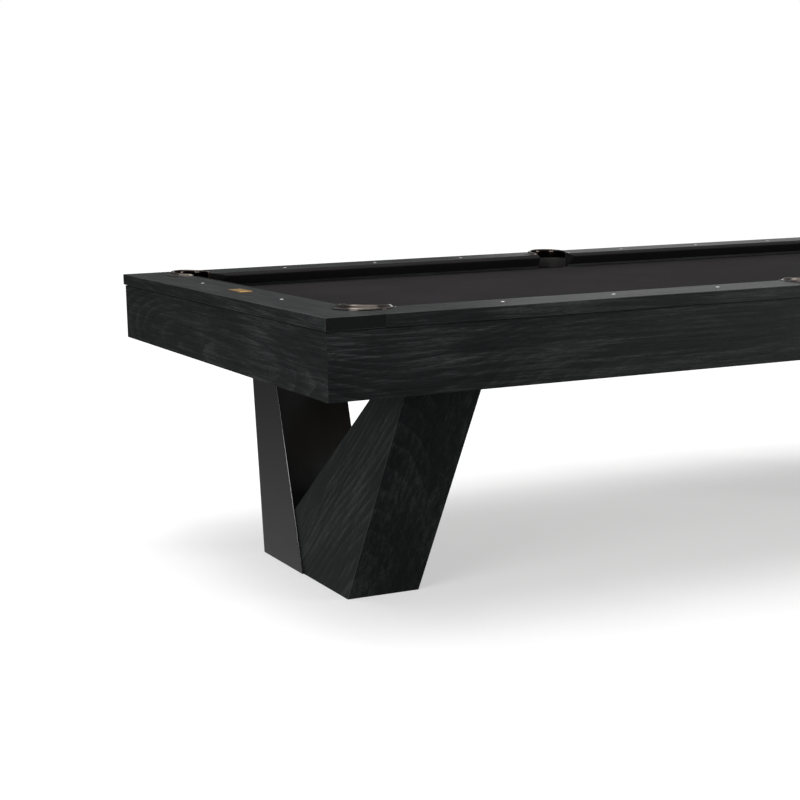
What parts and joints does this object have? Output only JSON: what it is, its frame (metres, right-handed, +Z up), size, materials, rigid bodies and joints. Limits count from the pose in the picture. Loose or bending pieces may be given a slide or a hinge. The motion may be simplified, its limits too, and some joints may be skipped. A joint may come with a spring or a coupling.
{
  "type": "pool table",
  "caption": "Nine foot pool table with wooden rails, cloth-covered cushions, metal-rimmed drop pockets and V pedestals of a wooden and a steel slab.",
  "frame": {"origin": "on the floor under the middle of the table", "axes": "+X along the table, the plaque at the -X end; +Y across it, the steel slab of the -X pedestal on the +Y side; +Z up"},
  "size_m": [2.924, 1.654, 0.83],
  "materials": {
    "black_wood": "black-stained maple with open grain, satin lacquer",
    "frame_wood": "plain sawn poplar, no finish",
    "rail_cloth": "napped wool billiard cloth, charcoal",
    "bed_cloth": "napped wool billiard cloth, charcoal",
    "cushion_rubber": "gum rubber",
    "pearl": "pearl, polished",
    "plaque_brass": "brushed, with a fine bevel",
    "iron_bronze": "cast, plated antique bronze and polished",
    "pocket_leather": "black leather, matt",
    "slate_stone": "honed slate",
    "hardware_steel": "zinc plated",
    "leg_steel": "satin black powder coat",
    "foot_plastic": "black nylon"
  },
  "bodies": {
    "table": {"side_subrails": "black_wood", "end_subrails": "black_wood", "feather_strips": "black_wood", "side_rail_cap_near_left": "black_wood", "side_rail_cap_near_right": "black_wood", "side_rail_cap_far_left": "black_wood", "side_rail_cap_far_right": "black_wood", "end_rail_cap_left": "black_wood", "end_rail_cap_right": "black_wood", "apron_near": "black_wood", "apron_far": "black_wood", "apron_left": "black_wood", "apron_right": "black_wood", "wood_leg_left": "black_wood", "wood_leg_right": "black_wood", "frame_side_beams": "frame_wood", "frame_cross_beams": "frame_wood", "corner_blocks": "frame_wood", "foot_blocks": "frame_wood", "side_rail_cloth_near_left": "rail_cloth", "side_rail_cloth_near_right": "rail_cloth", "side_rail_cloth_far_left": "rail_cloth", "side_rail_cloth_far_right": "rail_cloth", "end_rail_cloth_left": "rail_cloth", "end_rail_cloth_right": "rail_cloth", "bed_cloth": "bed_cloth", "side_cushions": "cushion_rubber", "end_cushions": "cushion_rubber", "cushion_facings": "cushion_rubber", "rail_sights": "pearl", "end_rail_plaque": "plaque_brass", "pocket_iron_near_left": "iron_bronze", "pocket_iron_near_right": "iron_bronze", "pocket_iron_near_side": "iron_bronze", "pocket_iron_far_left": "iron_bronze", "pocket_iron_far_right": "iron_bronze", "pocket_iron_far_side": "iron_bronze", "pocket_bag_near_left": "pocket_leather", "pocket_bag_near_right": "pocket_leather", "pocket_bag_near_side": "pocket_leather", "pocket_bag_far_left": "pocket_leather", "pocket_bag_far_right": "pocket_leather", "pocket_bag_far_side": "pocket_leather", "slate_left": "slate_stone", "slate_middle": "slate_stone", "slate_right": "slate_stone", "slate_screws": "hardware_steel", "rail_bolts": "hardware_steel", "leg_bolts": "hardware_steel", "leg_top_plates": "hardware_steel", "steel_leg_left": "leg_steel", "steel_leg_right": "leg_steel"},
    "pad_left_wood": {"foot_pad_left_wood": "foot_plastic"},
    "stud_left_wood": {"foot_stud_left_wood": "hardware_steel"},
    "pad_left_steel": {"foot_pad_left_steel": "foot_plastic"},
    "stud_left_steel": {"foot_stud_left_steel": "hardware_steel"},
    "pad_right_wood": {"foot_pad_right_wood": "foot_plastic"},
    "stud_right_wood": {"foot_stud_right_wood": "hardware_steel"},
    "pad_right_steel": {"foot_pad_right_steel": "foot_plastic"},
    "stud_right_steel": {"foot_stud_right_steel": "hardware_steel"}
  },
  "joints": [
    {"name": "foot_left_wood_travel", "type": "slide", "parent": "table", "child": "pad_left_wood", "axis": [0, 0, -1], "range_m": [0, 0.012]},
    {"name": "foot_left_wood_turn", "type": "hinge", "parent": "pad_left_wood", "child": "stud_left_wood", "pos_m": [-1.106, -0.155, 0.03], "axis": [0, 0, -1], "range_deg": [0, 2469.6]},
    {"name": "foot_left_steel_travel", "type": "slide", "parent": "table", "child": "pad_left_steel", "axis": [0, 0, -1], "range_m": [0, 0.012]},
    {"name": "foot_left_steel_turn", "type": "hinge", "parent": "pad_left_steel", "child": "stud_left_steel", "pos_m": [-1.106, 0.155, 0.03], "axis": [0, 0, -1], "range_deg": [0, 2469.6]},
    {"name": "foot_right_wood_travel", "type": "slide", "parent": "table", "child": "pad_right_wood", "axis": [0, 0, -1], "range_m": [0, 0.012]},
    {"name": "foot_right_wood_turn", "type": "hinge", "parent": "pad_right_wood", "child": "stud_right_wood", "pos_m": [1.106, 0.155, 0.03], "axis": [0, 0, -1], "range_deg": [0, 2469.6]},
    {"name": "foot_right_steel_travel", "type": "slide", "parent": "table", "child": "pad_right_steel", "axis": [0, 0, -1], "range_m": [0, 0.012]},
    {"name": "foot_right_steel_turn", "type": "hinge", "parent": "pad_right_steel", "child": "stud_right_steel", "pos_m": [1.106, -0.155, 0.03], "axis": [0, 0, -1], "range_deg": [0, 2469.6]}
  ],
  "couplings": [
    {"joint": "foot_left_wood_turn", "follows": "foot_left_wood_travel", "rad_per_m": 3590.4},
    {"joint": "foot_left_steel_turn", "follows": "foot_left_steel_travel", "rad_per_m": 3590.4},
    {"joint": "foot_right_wood_turn", "follows": "foot_right_wood_travel", "rad_per_m": 3590.4},
    {"joint": "foot_right_steel_turn", "follows": "foot_right_steel_travel", "rad_per_m": 3590.4}
  ]
}
